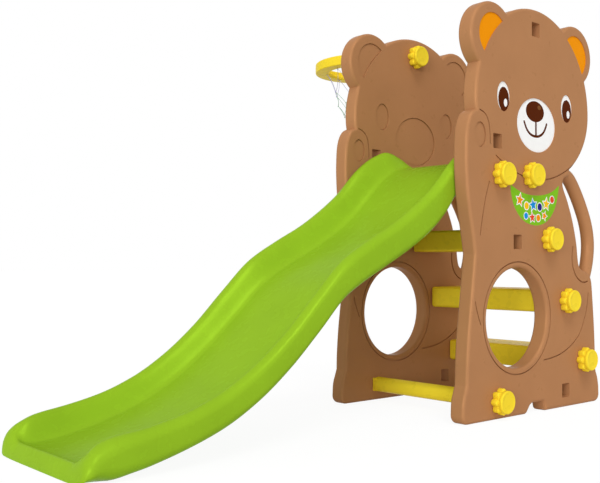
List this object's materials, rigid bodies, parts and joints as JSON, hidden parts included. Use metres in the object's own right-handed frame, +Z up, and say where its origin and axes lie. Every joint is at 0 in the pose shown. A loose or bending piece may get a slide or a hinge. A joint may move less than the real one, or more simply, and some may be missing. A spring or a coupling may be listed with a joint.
{
  "type": "toddler slide",
  "caption": "Small climbing frame with a wavy slide between two animal-shaped side panels, with steps, handrails and a ball hoop.",
  "frame": {"origin": "middle of the bounding box, on the floor", "axes": "+X from the slide's exit towards the steps, +Y towards the hoop's side, +Z up"},
  "size_m": [1.5204, 0.7872, 1.0185],
  "materials": {
    "brown_plastic": "satin",
    "yellow_plastic": "satin to gloss",
    "green_plastic": "smooth, satin to gloss",
    "steel": "zinc plated",
    "net_string": "thin knotted string"
  },
  "bodies": {
    "frame": {"panel_left": "brown_plastic", "panel_right": "brown_plastic", "chute": "green_plastic", "step_bottom": "yellow_plastic", "step_middle": "yellow_plastic", "step_top": "yellow_plastic", "crossbar": "yellow_plastic", "hoop": "yellow_plastic", "hoop_net": "net_string", "insert_left_bar": "steel", "insert_left_step_bottom": "steel", "insert_left_step_middle": "steel", "insert_left_step_top": "steel", "insert_left_chute_rear": "steel", "insert_left_chute_front": "steel", "insert_right_bar": "steel", "insert_right_step_bottom": "steel", "insert_right_step_middle": "steel", "insert_right_step_top": "steel", "insert_right_chute_rear": "steel", "insert_right_chute_front": "steel", "insert_hoop": "steel"},
    "knob_left_bar": {"knob_left_bar": "yellow_plastic", "stud_left_bar": "steel"},
    "knob_left_step_bottom": {"knob_left_step_bottom": "yellow_plastic", "stud_left_step_bottom": "steel"},
    "knob_left_step_middle": {"knob_left_step_middle": "yellow_plastic", "stud_left_step_middle": "steel"},
    "knob_left_step_top": {"knob_left_step_top": "yellow_plastic", "stud_left_step_top": "steel"},
    "knob_left_chute_rear": {"knob_left_chute_rear": "yellow_plastic", "stud_left_chute_rear": "steel"},
    "knob_left_chute_front": {"knob_left_chute_front": "yellow_plastic", "stud_left_chute_front": "steel"},
    "knob_right_bar": {"knob_right_bar": "yellow_plastic", "stud_right_bar": "steel"},
    "knob_right_step_bottom": {"knob_right_step_bottom": "yellow_plastic", "stud_right_step_bottom": "steel"},
    "knob_right_step_middle": {"knob_right_step_middle": "yellow_plastic", "stud_right_step_middle": "steel"},
    "knob_right_step_top": {"knob_right_step_top": "yellow_plastic", "stud_right_step_top": "steel"},
    "knob_right_chute_rear": {"knob_right_chute_rear": "yellow_plastic", "stud_right_chute_rear": "steel"},
    "knob_right_chute_front": {"knob_right_chute_front": "yellow_plastic", "stud_right_chute_front": "steel"},
    "knob_hoop": {"knob_hoop": "yellow_plastic", "stud_hoop": "steel"}
  },
  "joints": [
    {"name": "turn_left_bar", "type": "hinge", "parent": "frame", "child": "knob_left_bar", "pos_m": [0.30875, -0.36465, 0.044], "axis": [0, -1, 0], "continuous": true},
    {"name": "turn_left_step_bottom", "type": "hinge", "parent": "frame", "child": "knob_left_step_bottom", "pos_m": [0.67775, -0.36465, 0.119], "axis": [0, -1, 0], "continuous": true},
    {"name": "turn_left_step_middle", "type": "hinge", "parent": "frame", "child": "knob_left_step_middle", "pos_m": [0.59775, -0.36465, 0.278], "axis": [0, -1, 0], "continuous": true},
    {"name": "turn_left_step_top", "type": "hinge", "parent": "frame", "child": "knob_left_step_top", "pos_m": [0.51775, -0.36465, 0.437], "axis": [0, -1, 0], "continuous": true},
    {"name": "turn_left_chute_rear", "type": "hinge", "parent": "frame", "child": "knob_left_chute_rear", "pos_m": [0.43775, -0.36465, 0.596], "axis": [0, -1, 0], "continuous": true},
    {"name": "turn_left_chute_front", "type": "hinge", "parent": "frame", "child": "knob_left_chute_front", "pos_m": [0.31675, -0.36465, 0.591], "axis": [0, -1, 0], "continuous": true},
    {"name": "turn_right_bar", "type": "hinge", "parent": "frame", "child": "knob_right_bar", "pos_m": [0.30875, 0.08395, 0.044], "axis": [0, 1, 0], "continuous": true},
    {"name": "turn_right_step_bottom", "type": "hinge", "parent": "frame", "child": "knob_right_step_bottom", "pos_m": [0.67775, 0.08395, 0.119], "axis": [0, 1, 0], "continuous": true},
    {"name": "turn_right_step_middle", "type": "hinge", "parent": "frame", "child": "knob_right_step_middle", "pos_m": [0.59775, 0.08395, 0.278], "axis": [0, 1, 0], "continuous": true},
    {"name": "turn_right_step_top", "type": "hinge", "parent": "frame", "child": "knob_right_step_top", "pos_m": [0.51775, 0.08395, 0.437], "axis": [0, 1, 0], "continuous": true},
    {"name": "turn_right_chute_rear", "type": "hinge", "parent": "frame", "child": "knob_right_chute_rear", "pos_m": [0.43775, 0.08395, 0.596], "axis": [0, 1, 0], "continuous": true},
    {"name": "turn_right_chute_front", "type": "hinge", "parent": "frame", "child": "knob_right_chute_front", "pos_m": [0.31675, 0.08395, 0.591], "axis": [0, 1, 0], "continuous": true},
    {"name": "turn_hoop", "type": "hinge", "parent": "frame", "child": "knob_hoop", "pos_m": [0.46545, 0.04135, 0.9664], "axis": [0, -1, 0], "continuous": true}
  ]
}
